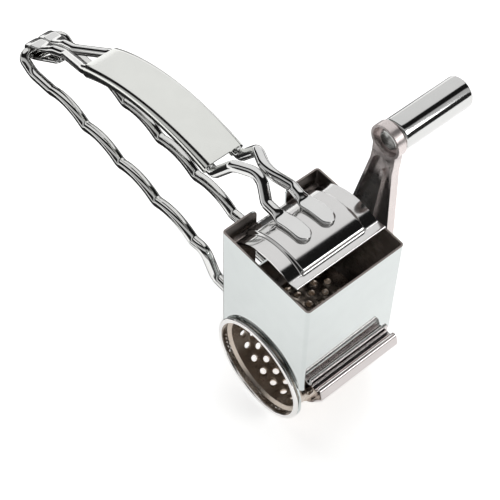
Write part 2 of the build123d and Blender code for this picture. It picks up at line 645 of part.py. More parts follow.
with BuildPart() as grip_end_cap:
    with BuildSketch(at_grip(GRIP_END - CAP_DEPTH)):
        Circle(GRIP_R - GRIP_WALL)
    extrude(amount=CAP_DEPTH)
    crown = grip_end_cap.edges().filter_by(GeomType.CIRCLE).sort_by(Axis.Y)[-1]
    fillet(crown, 0.4)
finish(grip_end_cap, "grip_end_cap")
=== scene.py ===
import json
import bmesh
import bpy
import numpy as np
from math import cos, pi, radians, sin, sqrt, tan
from mathutils import Matrix, Vector


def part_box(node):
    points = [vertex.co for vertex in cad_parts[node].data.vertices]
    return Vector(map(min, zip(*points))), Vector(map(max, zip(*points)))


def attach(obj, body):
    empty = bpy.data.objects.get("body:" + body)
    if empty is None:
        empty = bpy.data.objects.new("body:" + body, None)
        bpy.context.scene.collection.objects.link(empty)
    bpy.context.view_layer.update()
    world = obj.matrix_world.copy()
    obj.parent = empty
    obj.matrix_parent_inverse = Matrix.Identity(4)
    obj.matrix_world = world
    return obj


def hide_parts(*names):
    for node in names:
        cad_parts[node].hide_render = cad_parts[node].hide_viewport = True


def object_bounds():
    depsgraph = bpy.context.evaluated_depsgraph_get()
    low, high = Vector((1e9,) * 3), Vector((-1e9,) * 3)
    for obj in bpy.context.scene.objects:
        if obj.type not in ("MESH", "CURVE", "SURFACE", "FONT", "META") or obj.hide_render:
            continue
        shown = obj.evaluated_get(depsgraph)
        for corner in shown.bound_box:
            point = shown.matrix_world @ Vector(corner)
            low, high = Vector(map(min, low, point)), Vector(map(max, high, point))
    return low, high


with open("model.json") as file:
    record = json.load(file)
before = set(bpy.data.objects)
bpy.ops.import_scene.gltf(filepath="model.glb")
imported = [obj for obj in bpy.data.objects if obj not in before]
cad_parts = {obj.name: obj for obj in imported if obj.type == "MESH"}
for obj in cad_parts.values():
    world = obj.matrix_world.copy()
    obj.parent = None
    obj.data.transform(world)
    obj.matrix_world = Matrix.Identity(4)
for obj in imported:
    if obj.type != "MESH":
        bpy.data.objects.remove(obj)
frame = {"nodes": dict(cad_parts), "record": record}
cad_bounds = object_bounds()

# ---------------------------------------------------------------------------------------------
# The frame's own places: the lever's hinge, whose y is the middle of the hopper, and how far the
# lever is lifted at rest. All pieces below are drawn in millimetres and stored in metres.
MM = 0.001
behaviour = frame["record"]["behaviour"]
joints = {joint["name"]: joint for joint in behaviour["joints"]}
hinge = np.array(joints["lever_hinge"]["pos_m"]) / MM
rest_lift = radians(-joints["lever_hinge"]["range_deg"][0])
middle = hinge[1]


def lifted(points):
    """Turns points from the shut lever to the lifted one: a turn in XZ about the hinge."""
    x, z = points[..., 0] - hinge[0], points[..., 2] - hinge[2]
    turned = np.array(points, float)
    turned[..., 0] = hinge[0] + x * cos(rest_lift) - z * sin(rest_lift)
    turned[..., 2] = hinge[2] + x * sin(rest_lift) + z * cos(rest_lift)
    return turned


# ---------------------------------------------------------------------------------------------
# Camera: stands in front of the mouth side of the hopper, well above it and turned a little, and
# looks down on the rim and the press. Its lens is a short telephoto.
azimuth, elevation, roll = radians(48.451), radians(54.273), radians(1.353)
camera_distance = 0.59669
target = Vector((-0.03639, middle * MM, 0.02254))
back = Vector((sin(azimuth) * cos(elevation), -cos(azimuth) * cos(elevation), sin(elevation)))
right = Vector((cos(azimuth), sin(azimuth), 0))
up = back.cross(right)
right, up = right * cos(roll) + up * sin(roll), up * cos(roll) - right * sin(roll)
camera = bpy.data.objects.new("camera", bpy.data.cameras.new("camera"))
camera.data.lens = 101.48
camera.data.sensor_width = 36.0
camera.data.clip_start = 0.01
camera.matrix_world = Matrix.Translation(target + back * camera_distance) @ Matrix(
    (right, up, back)).transposed().to_4x4()
bpy.context.scene.collection.objects.link(camera)
bpy.context.scene.camera = camera
bpy.context.scene.view_settings.view_transform = "Standard"


# ---------------------------------------------------------------------------------------------
# Studio: a soft white room. Two dark rings in it, round the side where the big white screen
# stands, give polished steel its black lines. The camera itself sees plain white.
def linear(colour):
    """sRGB hex colour to linear RGBA: the standard two-part curve."""
    parts = np.array([int(colour[i:i + 2], 16) for i in (1, 3, 5)]) / 255
    curve = np.where(parts <= 0.04045, parts / 12.92, ((parts + 0.055) / 1.055) ** 2.4)
    return (*curve.tolist(), 1.0)


def add(tree, kind, settings=None, **links):
    """Adds one node, sets its properties and links or fills its inputs by name."""
    node = tree.nodes.new(kind)
    for key, value in (settings or {}).items():
        setattr(node, key, value)
    for key, value in links.items():
        socket = node.inputs[int(key[1:])] if key[0] == "_" else node.inputs[key.replace("_", " ")]
        if isinstance(value, bpy.types.NodeSocket):
            tree.links.new(value, socket)
        else:
            socket.default_value = value
    return node


world = bpy.data.worlds.new("studio")
bpy.context.scene.world = world
world.use_nodes = True
room = world.node_tree
room.nodes.clear()
direction = add(room, "ShaderNodeTexCoord")
lamp_side = Vector((-0.64, 0.453, 0.62))
facing = add(room, "ShaderNodeVectorMath", {"operation": "DOT_PRODUCT"},
             _0=direction.outputs["Generated"], _1=lamp_side)
share = add(room, "ShaderNodeMapRange", Value=facing.outputs["Value"], From_Min=-1.0)
rings = add(room, "ShaderNodeValToRGB", Fac=share.outputs[0])
# brightness of the room by how far a direction turns towards the big white screen
ring_stops = [(-1.0, 0.35), (-0.48, 0.35), (-0.42, 0.02), (-0.04, 0.02), (0.02, 0.62),
              (0.34, 0.55), (0.40, 0.01), (0.715, 0.01), (0.745, 0.92), (1.0, 0.95)]
while len(rings.color_ramp.elements) < len(ring_stops):
    rings.color_ramp.elements.new(0.5)
for stop, (place, level) in zip(rings.color_ramp.elements, ring_stops):
    stop.position = (place + 1) / 2
    stop.color = (level, level, level, 1)
seen = add(room, "ShaderNodeLightPath")
plain = add(room, "ShaderNodeMix", {"data_type": "RGBA"}, Factor=seen.outputs["Is Camera Ray"],
            _6=rings.outputs["Color"], _7=(1, 1, 1, 1))
shell = add(room, "ShaderNodeBackground", Color=plain.outputs[2], Strength=1.0)
add(room, "ShaderNodeOutputWorld", Surface=shell.outputs[0])


# ---------------------------------------------------------------------------------------------
# Table and card: the grater stands on a white table that glows a little. A black card under the
# handles, seen only in reflections, gives the wires their dark undersides.
def flat_sheet(name, outline, height, material):
    """One face over an outline of (x, y) points at one height, in metres."""
    mesh = bpy.data.meshes.new(name)
    mesh.from_pydata([(x, y, height) for x, y in outline], [], [tuple(range(len(outline)))])
    mesh.materials.append(material)
    sheet_object = bpy.data.objects.new(name, mesh)
    bpy.context.scene.collection.objects.link(sheet_object)
    return sheet_object


def plain_material(name, **sockets):
    """A plain surface: constants on the shader's own sockets, named with _ for a space."""
    material = bpy.data.materials.new(name)
    material.use_nodes = True
    for key, value in sockets.items():
        inputs = material.node_tree.nodes["Principled BSDF"].inputs
        inputs[key.replace("_", " ")].default_value = value
    return material


table_half = 2.5
table_gap, card_gap = 0.0005, 0.001
table_z = cad_bounds[0][2] - table_gap
paper = plain_material("white_paper", Base_Color=linear("#F6F6F5"), Roughness=0.9,
                       Emission_Color=(1, 1, 1, 1), Emission_Strength=0.62)
table_outline = [(x * table_half, y * table_half) for x, y in ((-1, -1), (1, -1), (1, 1), (-1, 1))]
table = flat_sheet("table", table_outline, table_z, paper)

black = plain_material("black_card", Base_Color=linear("#101010"))
card_outline = [(-0.42, -0.16), (-0.10, -0.16), (-0.10, 0.0), (-0.03, 0.0), (-0.03, 0.26),
                (-0.42, 0.26)]
card = flat_sheet("card", card_outline, table_z + card_gap, black)
card.visible_camera = card.visible_diffuse = card.visible_shadow = False


# ---------------------------------------------------------------------------------------------
# Lamps: a broad one high behind the handles that steel doesn't mirror, and a smaller one on the
# crank's side that it does.
def softbox(name, place, aim, size, power, mirrored):
    """Square area light at place, turned to aim, in metres and watts, mirrored in steel or not."""
    light = bpy.data.lights.new(name, "AREA")
    light.size = size
    light.energy = power
    box = bpy.data.objects.new(name, light)
    box.matrix_world = Matrix.Translation(place) @ (
        Vector(aim) - Vector(place)).to_track_quat("-Z", "Y").to_matrix().to_4x4()
    bpy.context.scene.collection.objects.link(box)
    box.visible_glossy = mirrored


lit_place = (-0.06, 0.03, 0.03)
softbox("top_light", (-0.5, 0.4, 1.3), lit_place, 0.9, 5.0, False)
softbox("side_light", (0.9, 0.5, 0.7), lit_place, 0.4, 2.5, True)


# ---------------------------------------------------------------------------------------------
# Hopper: one sheet of stainless steel, folded to a square tube with two round-bottomed side walls
# and two narrow tabs at the back. Polished to a near mirror outside, rougher inside, where a darker
# brownish colour is painted shade and painted reflection of the dark hollow. What is left of the
# polishing shows as a very fine grain in the gloss and a slow ripple in the flat sheet.
cloud_mm, ripple_mm, grain_height, least_ripple = 9.0, 22.0, 0.004, 0.002
noise_low, noise_high = 0.6, 1.4
glossiest, dullest, dimmed = 0.6, 1.5, 0.93


def steel(name, colour, roughness, ripple=0.0, grain_mm=(0.25, 0.25, 0.25)):
    """Metal whose roughness follows a stretched noise and whose bump is a slow ripple."""
    metal = bpy.data.materials.new(name)
    metal.use_nodes = True
    tree = metal.node_tree
    surface = tree.nodes["Principled BSDF"]
    place = add(tree, "ShaderNodeTexCoord").outputs["Object"]
    grain_scale = add(tree, "ShaderNodeMapping", Vector=place,
                      Scale=[1 / (size * MM) for size in grain_mm])
    grain = add(tree, "ShaderNodeTexNoise", Vector=grain_scale.outputs[0], Scale=1.0, Detail=3.0)
    cloud = add(tree, "ShaderNodeTexNoise", Vector=place, Scale=1 / (cloud_mm * MM), Detail=3.0)
    both = add(tree, "ShaderNodeMath", {"operation": "ADD"}, _0=grain.outputs["Fac"],
               _1=cloud.outputs["Fac"])
    gloss = add(tree, "ShaderNodeMapRange", Value=both.outputs[0], From_Min=noise_low,
                From_Max=noise_high, To_Min=roughness * glossiest, To_Max=roughness * dullest)
    tree.links.new(gloss.outputs[0], surface.inputs["Roughness"])
    base = linear(colour)
    tint = add(tree, "ShaderNodeMix", {"data_type": "RGBA"}, Factor=cloud.outputs["Fac"],
               _6=base, _7=tuple(c * dimmed for c in base[:3]) + (1,))
    tree.links.new(tint.outputs[2], surface.inputs["Base Color"])
    surface.inputs["Metallic"].default_value = 1.0
    wave = add(tree, "ShaderNodeTexNoise", Vector=place, Scale=1 / (ripple_mm * MM), Detail=1.0)
    slow = add(tree, "ShaderNodeBump", Height=wave.outputs["Fac"], Strength=1.0,
               Distance=max(ripple, least_ripple) * MM)
    fine = add(tree, "ShaderNodeBump", Height=grain.outputs["Fac"], Strength=0.25,
               Distance=grain_height * MM, Normal=slow.outputs[0])
    tree.links.new(fine.outputs[0], surface.inputs["Normal"])
    return metal


def place_piece(mesh, node, body, material, sharp=40):
    """Links a finished mesh, smooth but for edges sharper than the angle, in place of its node."""
    mesh.polygons.foreach_set("use_smooth", np.ones(len(mesh.polygons), bool))
    mesh.set_sharp_from_angle(angle=radians(sharp))
    mesh.materials.clear()
    mesh.materials.append(material)
    piece = bpy.data.objects.new(mesh.name, mesh)
    bpy.context.scene.collection.objects.link(piece)
    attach(piece, body)
    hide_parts(node)
    return piece


def cad_copy(node, body, material, edge_mm):
    """A merged copy of a pressed piece, its cut edges rounded and its curves shaded smooth."""
    shape = bmesh.new()
    shape.from_mesh(frame["nodes"][node].data)
    bmesh.ops.remove_doubles(shape, verts=shape.verts, dist=1e-6)
    bmesh.ops.dissolve_limit(shape, angle_limit=radians(0.5), verts=shape.verts, edges=shape.edges)
    mesh = bpy.data.meshes.new(node + "_polished")
    shape.to_mesh(mesh)
    shape.free()
    piece = place_piece(mesh, node, body, material)
    if edge_mm:
        edges = piece.modifiers.new("edges", "BEVEL")
        edges.width = edge_mm * MM
        edges.segments = 2
        edges.limit_method = "ANGLE"
        edges.angle_limit = radians(50)
        edges.harden_normals = True
    return piece


hopper_steel = steel("polished_hopper_sheet", "#C9CECD", 0.06, ripple=0.012)
hopper = cad_copy("hopper_shell", "housing", hopper_steel, 0.1)


def second_finish(piece, material, chosen):
    """Gives the faces for which chosen(centres in mm) is true a second material."""
    piece.data.materials.append(material)
    centres = np.array([face.center[:] for face in piece.data.polygons]) / MM
    piece.data.polygons.foreach_set("material_index", chosen(centres).astype(np.int32))


within_walls = 24.3    # just past the walls' inner faces


def inside_hopper(centres):
    """True for points inside the four walls and on their inner faces."""
    across, along = np.abs(centres[:, 0]), np.abs(centres[:, 1] - middle)
    return (across < within_walls) & (along < within_walls)


# the inside gets a darker brownish colour, painted shade and painted reflection of the dark hollow,
# and a rougher gloss
second_finish(hopper, steel("hopper_inside_painted_shade", "#8D8581", 0.3), inside_hopper)


# ---------------------------------------------------------------------------------------------
# Front lip: a strip of polished steel sheet, spot-welded to the front wall's lower edge, folded
# to a groove and curled back into an open channel that ends under the drum.
def rounded(corners, radii, step=0.6):
    """Centre line through corners: straight runs joined by tangent arcs, evenly resampled."""
    corners = np.array(corners, float)
    line = [corners[:1]]
    for before, at, after, radius in zip(corners[:-2], corners[1:-1], corners[2:], radii):
        to_start = (before - at) / np.linalg.norm(before - at)
        to_end = (after - at) / np.linalg.norm(after - at)
        half_turn = (pi - np.arccos(np.clip(to_start @ to_end, -1, 1))) / 2
        bisector = (to_start + to_end) / np.linalg.norm(to_start + to_end)
        centre = at + bisector * radius / cos(half_turn)
        start = at + to_start * radius * tan(half_turn)
        turn = np.linspace(0, 2 * half_turn, 25)[:, None]
        line.append(centre + np.cos(turn) * (start - centre) - np.sin(turn) * to_start * radius)
    line = np.concatenate(line + [corners[-1:]])
    length = np.concatenate([[0], np.cumsum(np.linalg.norm(np.diff(line, axis=0), axis=1))])
    even = np.linspace(0, length[-1], int(length[-1] / step) + 2)
    return np.stack([np.interp(even, length, line[:, k]) for k in range(line.shape[1])], axis=1)


def strip_loop(line, thickness, round_steps=5):
    """Closed outline of a strip: its 2-D centre line offset both ways, with half-round ends."""
    along = np.gradient(line, axis=0)
    along /= np.linalg.norm(along, axis=1)[:, None]
    across = np.stack([-along[:, 1], along[:, 0]], axis=1)
    half = thickness / 2
    turn = np.linspace(0, pi, round_steps + 2)[1:-1, None]
    far_end = line[-1] + half * (np.cos(turn) * across[-1] + np.sin(turn) * along[-1])
    near_end = line[0] - half * (np.cos(turn) * across[0] + np.sin(turn) * along[0])
    return np.concatenate([line + across * half, far_end, (line - across * half)[::-1], near_end])


def loops_mesh(name, loops, round_trip=False):
    """Mesh of quads over loops (stations, points, xyz), with flat ends or joined end to end."""
    stations, points = loops.shape[:2]
    rows = np.arange(stations if round_trip else stations - 1)[:, None]
    columns = np.arange(points)[None, :]
    here, beside = rows * points, (rows + 1) % stations * points
    after = (columns + 1) % points
    quads = np.stack([here + columns, here + after, beside + after, beside + columns], axis=-1)
    faces = quads.reshape(-1, 4).tolist()
    if not round_trip:
        faces += [list(range(points)), list(range((stations - 1) * points, stations * points))]
    mesh = bpy.data.meshes.new(name)
    mesh.from_pydata((loops.reshape(-1, 3) * MM).tolist(), [], faces)
    shape = bmesh.new()
    shape.from_mesh(mesh)
    bmesh.ops.recalc_face_normals(shape, faces=shape.faces)
    shape.to_mesh(mesh)
    shape.free()
    return mesh


lip_line = rounded([(25.42, 15.55), (25.42, 11.6), (28.2, 11.6), (30.2, 16.4), (32.4, 9.5),
                    (26.6, 1.0), (23.9, -2.0)], (0.8, 0.8, 1.0, 3.0, 2.4), 0.25)
lip_thickness, lip_to_mouth, lip_to_crank, lip_stations = 0.78, 20, 22, 22
lip_section = strip_loop(lip_line, lip_thickness)
lip_y = np.linspace(middle - lip_to_mouth, middle + lip_to_crank, lip_stations)
lip_loops = np.stack([np.column_stack([lip_section[:, 0], np.full(len(lip_section), y),
                                       lip_section[:, 1]]) for y in lip_y])
lip_steel = steel("polished_lip_strip", "#C6C0BF", 0.12, ripple=0.01)
place_piece(loops_mesh("curled_front_lip", lip_loops), "front_lip", "housing",
            lip_steel)


# ---------------------------------------------------------------------------------------------
# Lower handle: one 5 mm wire bent to a long loop, waved four times for the fingers. Its ends are
# welded to the tabs and its closed end is the lever's hinge bar.
def tube(line, side, half_width, half_height, squareness=1.0, around=28):
    """Loops round a centre line: a rounded oval, half_width along side, half_height across it."""
    along = np.gradient(line, axis=0)
    along /= np.linalg.norm(along, axis=1)[:, None]
    side = side - np.sum(side * along, axis=1)[:, None] * along
    side /= np.linalg.norm(side, axis=1)[:, None]
    over = np.cross(side, along)
    turn = np.linspace(0, 2 * pi, around, endpoint=False)[None, :]
    power = np.broadcast_to(squareness, len(line))[:, None]
    flat = np.sign(np.cos(turn)) * np.abs(np.cos(turn)) ** power
    high = np.sign(np.sin(turn)) * np.abs(np.sin(turn)) ** power
    wide = np.broadcast_to(half_width, len(line))[:, None] * flat
    tall = np.broadcast_to(half_height, len(line))[:, None] * high
    return line[:, None] + wide[..., None] * side[:, None] + tall[..., None] * over[:, None]


handle_radius, strand_y, bar_bend = 2.5, 11.2, 3.4
wave_pitch, wave_slope, wave_tilt = 25.7, radians(26), radians(5)
wave_start_x, wave_start_z, wave_drop = -163.0, 23.2, 0.45
cusp_radius, crest_ease = 4.0, 0.1
crest_radius = wave_pitch / 2 / sin(wave_slope) - cusp_radius - crest_ease
wave_count = 4
steps = np.arange(2 * wave_count + 1)
wave_along = steps * wave_pitch / 2
wave_up = wave_pitch / 2 * tan(wave_slope) * (steps % 2) - wave_drop
wave_x = wave_start_x + wave_along * cos(wave_tilt) + wave_up * sin(wave_tilt)
wave_z = wave_start_z - wave_along * sin(wave_tilt) + wave_up * cos(wave_tilt)
weld_x = -27.4
strand = np.array([(hinge[0] + 8.0, 21.6), *zip(wave_x, wave_z),
                   (wave_x[-1] + 7.6, wave_z[-1] + 1.4), (-45.5, 3.0), (-34.0, 3.4),
                   (weld_x, -4.5), (weld_x, 20.0)])
strand_radii = [8.0, *np.where(steps % 2, crest_radius, cusp_radius), 6.0, 5.0, 5.0, 2.9]
near = np.column_stack([strand[:, 0], np.full(len(strand), middle - strand_y), strand[:, 1]])
far = np.column_stack([strand[:, 0], np.full(len(strand), middle + strand_y), strand[:, 1]])
bar = [(hinge[0], middle - strand_y, hinge[2]), (hinge[0], middle + strand_y, hinge[2])]
bail = rounded([*near[::-1], *bar, *far], [*strand_radii[::-1], bar_bend, bar_bend, *strand_radii])
heading = np.gradient(bail, axis=0)[:, :2]
heading[:, 0] += np.where(np.arange(len(bail)) < len(bail) / 2, -0.001, 0.001)
outward = np.column_stack([-heading[:, 1], heading[:, 0], np.zeros(len(bail))])
tip = np.minimum(np.arange(len(bail)), np.arange(len(bail))[::-1])
tip_round = handle_radius * np.sqrt(1 - (1 - np.clip((tip + 1) / 3, 0, 1)) ** 2)
wire_steel = steel("drawn_handle_wire", "#E0E0DE", 0.07, grain_mm=(1.2, 0.2, 0.2))
place_piece(loops_mesh("waved_handle_wire", tube(bail, outward, tip_round, tip_round)),
            "lower_handle_wire", "housing", wire_steel)


# ---------------------------------------------------------------------------------------------
# Lever wires: two bent wires of stainless steel. Each is hammered flat round the hinge bar, its
# tail tucked under itself, runs round under the thumb plate and ends in a flat paddle that is
# spot-welded to the press shoe.
def smooth(value, low, high):
    """Smooth step from 0 at low to 1 at high."""
    share = np.clip((value - low) / (high - low), 0, 1)
    return share * share * (3 - 2 * share)


lever_radius = 2.4
eye_width, eye_thick = 3.5, 0.8
eye_gap = 0.08
eye_centre = handle_radius + eye_gap + eye_thick
paddle_width, paddle_thick = 3.5, 1.0
eye_flat_until, eye_round_from, paddle_flat_until, paddle_round_from = 44.0, 56.0, 14.0, 19.5
flat_squareness, end_round, tail_round = 0.45, 3.5, 1.5
pinch_half, plate_wire_y = 2.42, 7.0
pinch = hinge[[0, 2]] + [25.9, 7.6]
run = (pinch - hinge[[0, 2]]) / np.linalg.norm(pinch - hinge[[0, 2]])
rise = np.array([-run[1], run[0]])
plate_rear, plate_front, sagitta = np.array([-130.1, 41.0]), np.array([-48.2, 29.6]), 7.85
run_in, run_out = 5.0, 3.0
chord = np.linalg.norm(plate_front - plate_rear)
bow_radius = (chord ** 2 / 4 + sagitta ** 2) / (2 * sagitta)
bow_half = np.arcsin(chord / 2 / bow_radius)
bow_tilt = np.arctan2(plate_front[1] - plate_rear[1], plate_front[0] - plate_rear[0])
bow_centre = (plate_rear + plate_front) / 2 + (bow_radius - sagitta) * np.array(
    [sin(bow_tilt), -cos(bow_tilt)])
bow_corner = bow_centre + bow_radius / cos(bow_half) * np.array([-sin(bow_tilt), cos(bow_tilt)])
before_plate = plate_rear - run_in * np.array([cos(bow_tilt + bow_half), sin(bow_tilt + bow_half)])
after_plate = plate_front + run_out * np.array([cos(bow_tilt - bow_half), sin(bow_tilt - bow_half)])


def on_eye(forward, over, half):
    """Point in the eye's own directions from the hinge: forward to the pinch, and over it."""
    place = hinge[[0, 2]] + forward * run + over * rise
    return place[0], half, place[1]


lever_corners = [
    on_eye(24.0, -3.2, 3.0), on_eye(4.0, -eye_centre, 3.8), on_eye(-eye_centre, -eye_centre, 3.8),
    on_eye(-eye_centre, eye_centre, 3.8), on_eye(4.5, eye_centre, 3.8), on_eye(17.0, 1.3, 2.9),
    (pinch[0] + 2, pinch_half, pinch[1] + 0.4),
    (before_plate[0], plate_wire_y, before_plate[1]), (bow_corner[0], plate_wire_y, bow_corner[1]),
    (after_plate[0], plate_wire_y, after_plate[1]),
    (-31.2, 6.2, 39.1), (-20.5, 1.35, 37.3), (-12.8, 6.6, 30.2), (-5.2, 6.1, 26.8),
    (3.3, 6.1, 27.3), (10.2, 6.1, 24.7)]
lever_radii = (6.0, eye_centre, eye_centre, 6.0, 8.0, 10.0, 12.0, bow_radius, 3.6, 6.0, 9.0, 4.0,
               5.0, 20.0)
lever_steel = steel("drawn_lever_wire", "#E0E0DF", 0.07, grain_mm=(1.2, 0.2, 0.2))
for side, node in ((-1, "near_lever_wire"), (1, "far_lever_wire")):
    route = rounded([(x, middle + side * y, z) for x, y, z in lever_corners], lever_radii)
    gone = np.concatenate([[0], np.cumsum(np.linalg.norm(np.diff(route, axis=0), axis=1))])
    left = gone[-1] - gone
    flat_eye = 1 - smooth(gone, eye_flat_until, eye_round_from)
    flat_end = 1 - smooth(left, paddle_flat_until, paddle_round_from)
    flat = np.maximum(flat_eye, flat_end)
    wide = (lever_radius + flat_eye * (eye_width - lever_radius)
            + flat_end * (paddle_width - lever_radius))
    tall = (lever_radius + flat_eye * (eye_thick - lever_radius)
            + flat_end * (paddle_thick - lever_radius))
    wide *= np.sqrt(1 - (1 - np.clip((left + 0.25) / end_round, 0, 1)) ** 2)
    wide *= np.sqrt(1 - (1 - np.clip((gone + 0.3) / tail_round, 0, 1)) ** 2)
    loops = tube(route, np.array([[0.0, 1.0, 0.0]]), wide, tall, 1 - flat_squareness * flat)
    place_piece(loops_mesh(node + "_bent", lifted(loops)), node, "press_lever",
                lever_steel, 60)

# ---------------------------------------------------------------------------------------------
# Thumb plate: a bowed plate of polished steel sheet, pressed smooth on top, with its two long
# edges rolled round the lever wires, which holds it.
plate_sheet, roll_gap, top_points = 0.9, 0.03, 20
roll_radius = lever_radius + roll_gap + plate_sheet / 2
turn = np.linspace(radians(-135), radians(90), 30)
right_roll = np.column_stack([plate_wire_y + roll_radius * np.cos(turn),
                              roll_radius * np.sin(turn)])
flat_top = np.column_stack([np.linspace(plate_wire_y, -plate_wire_y, top_points + 2)[1:-1],
                            np.full(top_points, roll_radius)])
plate_section = strip_loop(np.concatenate([right_roll, flat_top, (right_roll * [-1, 1])[::-1]]),
                           plate_sheet)
bow = np.linspace(-bow_half, bow_half, 70)[:, None] - bow_tilt
radius = bow_radius + plate_section[None, :, 1] + 0 * bow
plate_loops = np.stack([bow_centre[0] + radius * np.sin(bow),
                        np.broadcast_to(middle + plate_section[:, 0], radius.shape),
                        bow_centre[1] + radius * np.cos(bow)], axis=-1)
thumb_steel = steel("polished_thumb_sheet", "#E6E7E3", 0.10, ripple=0.01)
place_piece(loops_mesh("rolled_thumb_plate", lifted(plate_loops)), "thumb_plate", "press_lever",
            thumb_steel, 50)

# ---------------------------------------------------------------------------------------------
# Press shoe: an arched pressing of polished steel sheet that follows the drum, with a raised
# middle and a flat flange along each straight edge. The lever's paddles are welded on top of it.
shoe_sheet, shoe_in, shoe_step = 1.0, 23.5, 1.2
shoe_half, raised_half, half_chord = 22.7, 16.0, 16.5
back_edge, front_edge = -19.3, 20.8
back_points, front_points, end_points = 7, 11, 5
flange_z = sqrt(shoe_in ** 2 - half_chord ** 2)
flange_middle, arch_radius = flange_z + shoe_sheet / 2, shoe_in + shoe_sheet / 2
arch_half = np.arccos(flange_middle / arch_radius)
raise_run = 0.05
bend = np.linspace(-arch_half, arch_half, 90)
shoe_line = np.concatenate([
    np.column_stack([np.linspace(back_edge, -arch_radius * sin(arch_half), back_points + 1)[:-1],
                     np.full(back_points, flange_middle)]),
    np.column_stack([arch_radius * np.sin(bend), arch_radius * np.cos(bend)]),
    np.column_stack([np.linspace(arch_radius * sin(arch_half), front_edge, front_points + 1)[1:],
                     np.full(front_points, flange_middle)])])
shoe_section = strip_loop(shoe_line, shoe_sheet, end_points)
inside_arch = np.concatenate([np.zeros(back_points),
                              1 - smooth(np.abs(bend), arch_half - raise_run, arch_half),
                              np.zeros(front_points)])
raise_by = np.concatenate([inside_arch, np.zeros(end_points), inside_arch[::-1],
                           np.zeros(end_points)])
angle = np.arctan2(shoe_section[:, 0], shoe_section[:, 1])
shoe_y = np.concatenate([np.linspace(-shoe_half, -raised_half - 1.2, 12),
                         np.linspace(-raised_half - 1.0, -raised_half + 1.0, 11),
                         np.linspace(-raised_half + 1.2, raised_half - 1.2, 40),
                         np.linspace(raised_half - 1.0, raised_half + 1.0, 11),
                         np.linspace(raised_half + 1.2, shoe_half, 12)])
lift_by = shoe_step * (1 - smooth(np.abs(shoe_y), raised_half - 0.6, raised_half + 0.8))
height = lift_by[:, None] * raise_by[None, :]
shoe_loops = np.stack([shoe_section[:, 0] + height * np.sin(angle),
                       np.broadcast_to(middle + shoe_y[:, None], height.shape),
                       shoe_section[:, 1] + height * np.cos(angle)], axis=-1)
shoe_steel = steel("polished_shoe_sheet", "#DBDAD9", 0.09, ripple=0.01)
place_piece(loops_mesh("arched_press_shoe", lifted(shoe_loops)), "press_shoe", "press_lever",
            shoe_steel, 50)

# ---------------------------------------------------------------------------------------------
# Drum: a tube of steel sheet, pierced from inside, so that each round hole has a raised burr
# outside. The band that turns in the hopper wall is plain, and the mouth is rolled over. A dished
# disc closes the crank's end.
drum_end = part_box("drum_end_disc")[1][1] / MM
sheet, body_out, band_out = 0.8, 22.2, 23.7
hole_radius, burr_height = 1.45, 0.55
around_holes, row_pitch, first_row, row_count = 20, 4.5, 10.0, 8
cell_angle = 2 * pi / around_holes
side_points = np.linspace(-0.5, 0.5, 5)[:-1]
edge_side = np.full(len(side_points), 0.5)
square = np.concatenate([np.column_stack([side_points, -edge_side]),
                         np.column_stack([edge_side, side_points]),
                         np.column_stack([-side_points, edge_side]),
                         np.column_stack([-edge_side, -side_points])])
square_angle = np.arctan2(square[:, 1] * row_pitch, square[:, 0] * cell_angle * body_out)
unit = np.column_stack([np.cos(square_angle), np.sin(square_angle)])
foot = hole_radius + 0.75
ring_profile = [(foot, 0.0), (foot - 0.25, 0.10), (hole_radius + 0.28, burr_height * 0.8),
                (hole_radius + 0.14, burr_height), (hole_radius + 0.02, burr_height * 0.85),
                (hole_radius, 0.0), (hole_radius + 0.02, -sheet + 0.15),
                (hole_radius + 0.2, -sheet)]
edge = np.column_stack([square[:, 0] * cell_angle * body_out, square[:, 1] * row_pitch])
flat_rings = [np.column_stack([edge, np.zeros(len(edge))])]
flat_rings += [np.column_stack([unit * r, np.full(len(edge), h)]) for r, h in ring_profile]
flat_rings += [np.column_stack([edge, np.full(len(edge), -sheet)])]
cell = np.array(flat_rings)
rows, columns = np.meshgrid(np.arange(row_count), np.arange(around_holes), indexing="ij")
centre_angle = ((columns + rows % 2 / 2) * cell_angle).reshape(-1, 1, 1)
centre_y = (first_row + rows * row_pitch).reshape(-1, 1, 1)
spin = centre_angle + cell[None, :, :, 0] / body_out
reach = body_out + cell[None, :, :, 2]
cells = np.stack([reach * np.cos(spin), centre_y + cell[None, :, :, 1] + 0 * spin,
                  reach * np.sin(spin)], axis=-1)
count, depth, points = cells.shape[:3]
base = (np.arange(count) * depth * points)[:, None, None]
ring, turn = np.arange(depth - 1)[None, :, None], np.arange(points)[None, None, :]
following = (turn + 1) % points
cell_quads = np.stack([base + ring * points + turn, base + ring * points + following,
                       base + (ring + 1) * points + following,
                       base + (ring + 1) * points + turn], axis=-1).reshape(-1, 4)
pierced_start = first_row - row_pitch / 2
pierced_end = pierced_start + row_count * row_pitch
body_in, band_in = body_out - sheet, band_out - sheet
curl_centre, curl_radius = 24.3, 0.7
band_end, half_step, body_start = 3.2, 0.75, 4.4
step_middle = (band_end + body_start) / 2
curl = np.linspace(0, radians(225), 16)
mouth_profile = np.concatenate([
    [(pierced_start, body_in), (body_start, body_in), (step_middle, body_in + half_step),
     (band_end, band_in), (0.3, band_in), (0.05, band_in + 0.1), (0.0, band_in + 0.35)],
    np.column_stack([curl_radius - curl_radius * np.cos(curl),
                     curl_centre + curl_radius * np.sin(curl)]),
    [(1.3, band_out + 0.03), (1.5, band_out), (band_end, band_out),
     (step_middle, band_out - half_step), (body_start, body_out), (pierced_start, body_out)]])
end_bevel = 0.2
end_profile = np.array([(pierced_end, body_out), (drum_end - end_bevel, body_out),
                        (drum_end, body_out - end_bevel), (drum_end, body_in + end_bevel),
                        (drum_end - end_bevel, body_in), (pierced_end, body_in)])


